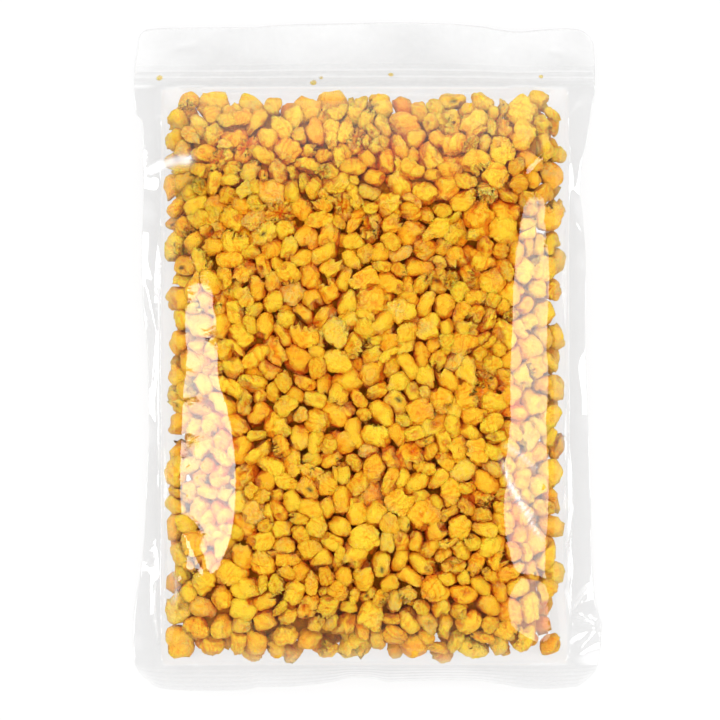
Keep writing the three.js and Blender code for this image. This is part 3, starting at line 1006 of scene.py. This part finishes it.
def along_fold(fold, x, y):
    """How far each point is from a fold's path, and how strong the fold is there."""
    path = np.array(fold.path, float)
    lengths = np.hypot(*np.diff(path, axis=0).T)
    start = np.concatenate(((0,), np.cumsum(lengths)))
    nearest = np.full(x.shape, 1e3)
    share = np.zeros_like(x)
    for k, length in enumerate(lengths):
        way = (path[k + 1] - path[k]) / length
        run = np.clip((x - path[k][0]) * way[0] + (y - path[k][1]) * way[1], 0, length)
        away = np.hypot(x - path[k][0] - run * way[0], y - path[k][1] - run * way[1])
        share = np.where(away < nearest, (start[k] + run) / start[-1], share)
        nearest = np.minimum(nearest, away)
    return nearest, smoothstep(share / 0.2) * smoothstep((1 - share) / 0.2)


def folds(x, y):
    """How far the sharp folds stand up at each point, and how strong a painted glint, milky white, they put
    on the film there.
    """
    raised, milky = np.zeros_like(x), np.zeros_like(x)
    for fold in CREASES:
        away, strength = along_fold(fold, x, y)
        raised += fold.height * strength * np.exp(-away / fold.width)
        milky = np.maximum(milky, fold.white * strength * np.exp(-((away / fold.spread) ** 2)))
    return raised, milky


def puckers(x, y):
    """Short folds that fan out from the side seams."""
    from_seam = np.minimum(x - LEFT, RIGHT - x)
    wobble = 2.5 * waves(x, y, 30, 24)
    fold = np.abs(np.sin(math.pi * (y + wobble) / PUCKERS["pitch"]))
    strength = 0.5 + 0.5 * waves(y, 0, 40, 25)
    fade = smoothstep(from_seam / 3) * smoothstep((PUCKERS["length"] - from_seam) / 8)
    return PUCKERS["height"] * strength * fade * (fold - 0.5)


def build_film(held):
    """The whole pouch: both films, joined round the outer edge."""
    line_x, line_y, pocket_x, pocket_y = film_lines()
    x, y = np.meshgrid(line_x, line_y, indexing="ij")
    place_x, place_y = drawn_in(x, y)
    flare = np.zeros_like(x)
    rippling = np.ones_like(x)
    for facing, middle_y, reach, slope in FLARES:
        seam = LEFT if facing < 0 else RIGHT
        here = np.exp(-(((place_y - middle_y) / reach) ** 4)) * (x * facing > 0)
        flare += slope * here * np.maximum(0, (place_x - seam) * facing)
        rippling -= here
    middle = margin_height(x, y, rippling) - flare
    share = np.maximum.reduce((side_share(x), foot_share(y), header_share(y)))
    unevenness = np.where(header_share(y) > 0, 0.12, 0.3)
    middle = middle + unevenness * waves(x, y, 22, 21) * smoothstep(share * 2) * (0.2 + 0.8 * rippling)
    out_y = y - MOUTH
    ridge = sum(np.exp(-(((out_y - at) / 0.45) ** 2)) for at in ZIP_RIDGES)
    weld = smoothstep((out_y - WELD_LINE + 0.3) / 0.6)
    in_foot_seal = (foot_share(y) > 0.08) & (foot_share(y) < 0.9)
    rib = np.sin(math.tau * (y - FOOT) / RIB["pitch"]) * in_foot_seal
    gap = SEALED_GAP / 2 + ZIP_HEIGHT * ridge + RIB["height"] * rib
    for crumb_x, crumb_y, _ in CRUMBS:
        gap = gap + 0.5 * np.exp(-((place_x - crumb_x) ** 2 + (place_y - crumb_y) ** 2) / 2)
    raised, milky_folds = folds(place_x, place_y)
    middle = middle + raised
    top = middle + gap
    bottom = middle - gap
    inside = (pocket_x, pocket_y)
    pillow = front_height(x[inside], y[inside]) + 0.2 * waves(x[inside], y[inside] * 0.6, 40, 17)
    set_rim(pillow, top[inside])
    top[inside] = drape(pillow, held)
    top[inside] += raised[inside] + puckers(x[inside], y[inside])
    base = back_height(x[inside], y[inside]) + 0.1
    set_rim(base, bottom[inside])
    bottom[inside] = base
    points, faces = closed_sheets(place_x, place_y, top, bottom)
    milk = MILK["side"] * smoothstep(side_share(x) / 0.4)
    milk = np.maximum(milk, (MILK["foot"] + MILK["rib"] * rib) * smoothstep(foot_share(y) / 0.3))
    in_header = smoothstep(header_share(y) / 0.1)
    milk = np.maximum(milk, in_header * (MILK["header"] - MILK["weld"] * weld))
    # The front film takes the folds' painted glints.
    milk = np.concatenate((np.maximum(milk, milky_folds).ravel(), milk.ravel()))
    make_piece("pouch_film", points, faces, film_material(), "clear_film", milk=milk)


# The studio.
def add_object(name, data):
    thing = bpy.data.objects.new(name, data)
    bpy.context.scene.collection.objects.link(thing)
    return thing


def soft_box(name, place, target, size, watts, in_reflections):
    light = bpy.data.lights.new(name, "AREA")
    light.shape = "RECTANGLE"
    light.size, light.size_y = size
    light.energy = watts
    lamp = add_object(name, light)
    lamp.location = place
    lamp.rotation_euler = (Vector(target) - lamp.location).to_track_quat("-Z", "Y").to_euler()
    lamp.visible_glossy = in_reflections


def build_studio():
    scene = bpy.context.scene
    scene.view_settings.view_transform = "Standard"
    for settings in SOFT_BOXES:
        soft_box(*settings)

    world = bpy.data.worlds.new("studio")
    scene.world = world
    world.use_nodes = True
    nodes = Nodes(world.node_tree)
    heading = nodes.add("ShaderNodeTexCoord").outputs["Generated"]
    parts = nodes.add("ShaderNodeSeparateXYZ", Vector=heading).outputs
    glow = nodes.between(parts[2], 0.2, 0.85, SKY["low"], SKY["overhead"])
    beyond_zip = nodes.between(parts[1], 0.15, 0.6, 0.0, SKY["beyond_zip"])
    beyond_foot = nodes.between(parts[1], -0.3, -0.7, 0.0, SKY["beyond_foot"])
    strength = nodes.maths("ADD", glow, nodes.maths("ADD", beyond_zip, beyond_foot))
    background = nodes.add("ShaderNodeBackground", Color=(1, 1, 1, 1), Strength=strength)
    nodes.add("ShaderNodeOutputWorld", Surface=background.outputs[0])

    mesh = bpy.data.meshes.new("floor")
    corners = [(x * FLOOR_REACH, y * FLOOR_REACH, 0) for x, y in ((-1, -1), (1, -1), (1, 1), (-1, 1))]
    mesh.from_pydata(corners, [], [(0, 1, 2, 3)])
    mesh.materials.append(floor_material())
    floor = add_object("floor", mesh)
    floor.location.z = -0.05 * MM


def build_camera():
    data = bpy.data.cameras.new("camera")
    data.sensor_width = SENSOR
    distance = CAMERA_HEIGHT - SEAM_HEIGHT
    data.lens = SENSOR * distance / (PHOTO_PIXELS * MM_PER_PIXEL)
    data.clip_end = 10
    camera = add_object("camera", data)
    camera.location = (
        (PHOTO_CENTRE[0] - MIDDLE_OF_OUTLINE[0]) * MM,
        (PHOTO_CENTRE[1] - MIDDLE_OF_OUTLINE[1]) * MM,
        CAMERA_HEIGHT * MM,
    )
    bpy.context.scene.camera = camera


CORN = {kind.name: corn_material("corn_" + kind.name, *KERNEL_COLOURS) for kind in KINDS}
CORN["core"] = corn_material("corn_core", *CORE_COLOURS)

build_camera()
build_studio()
build_core()
build_crumbs()
build_film(build_kernels())
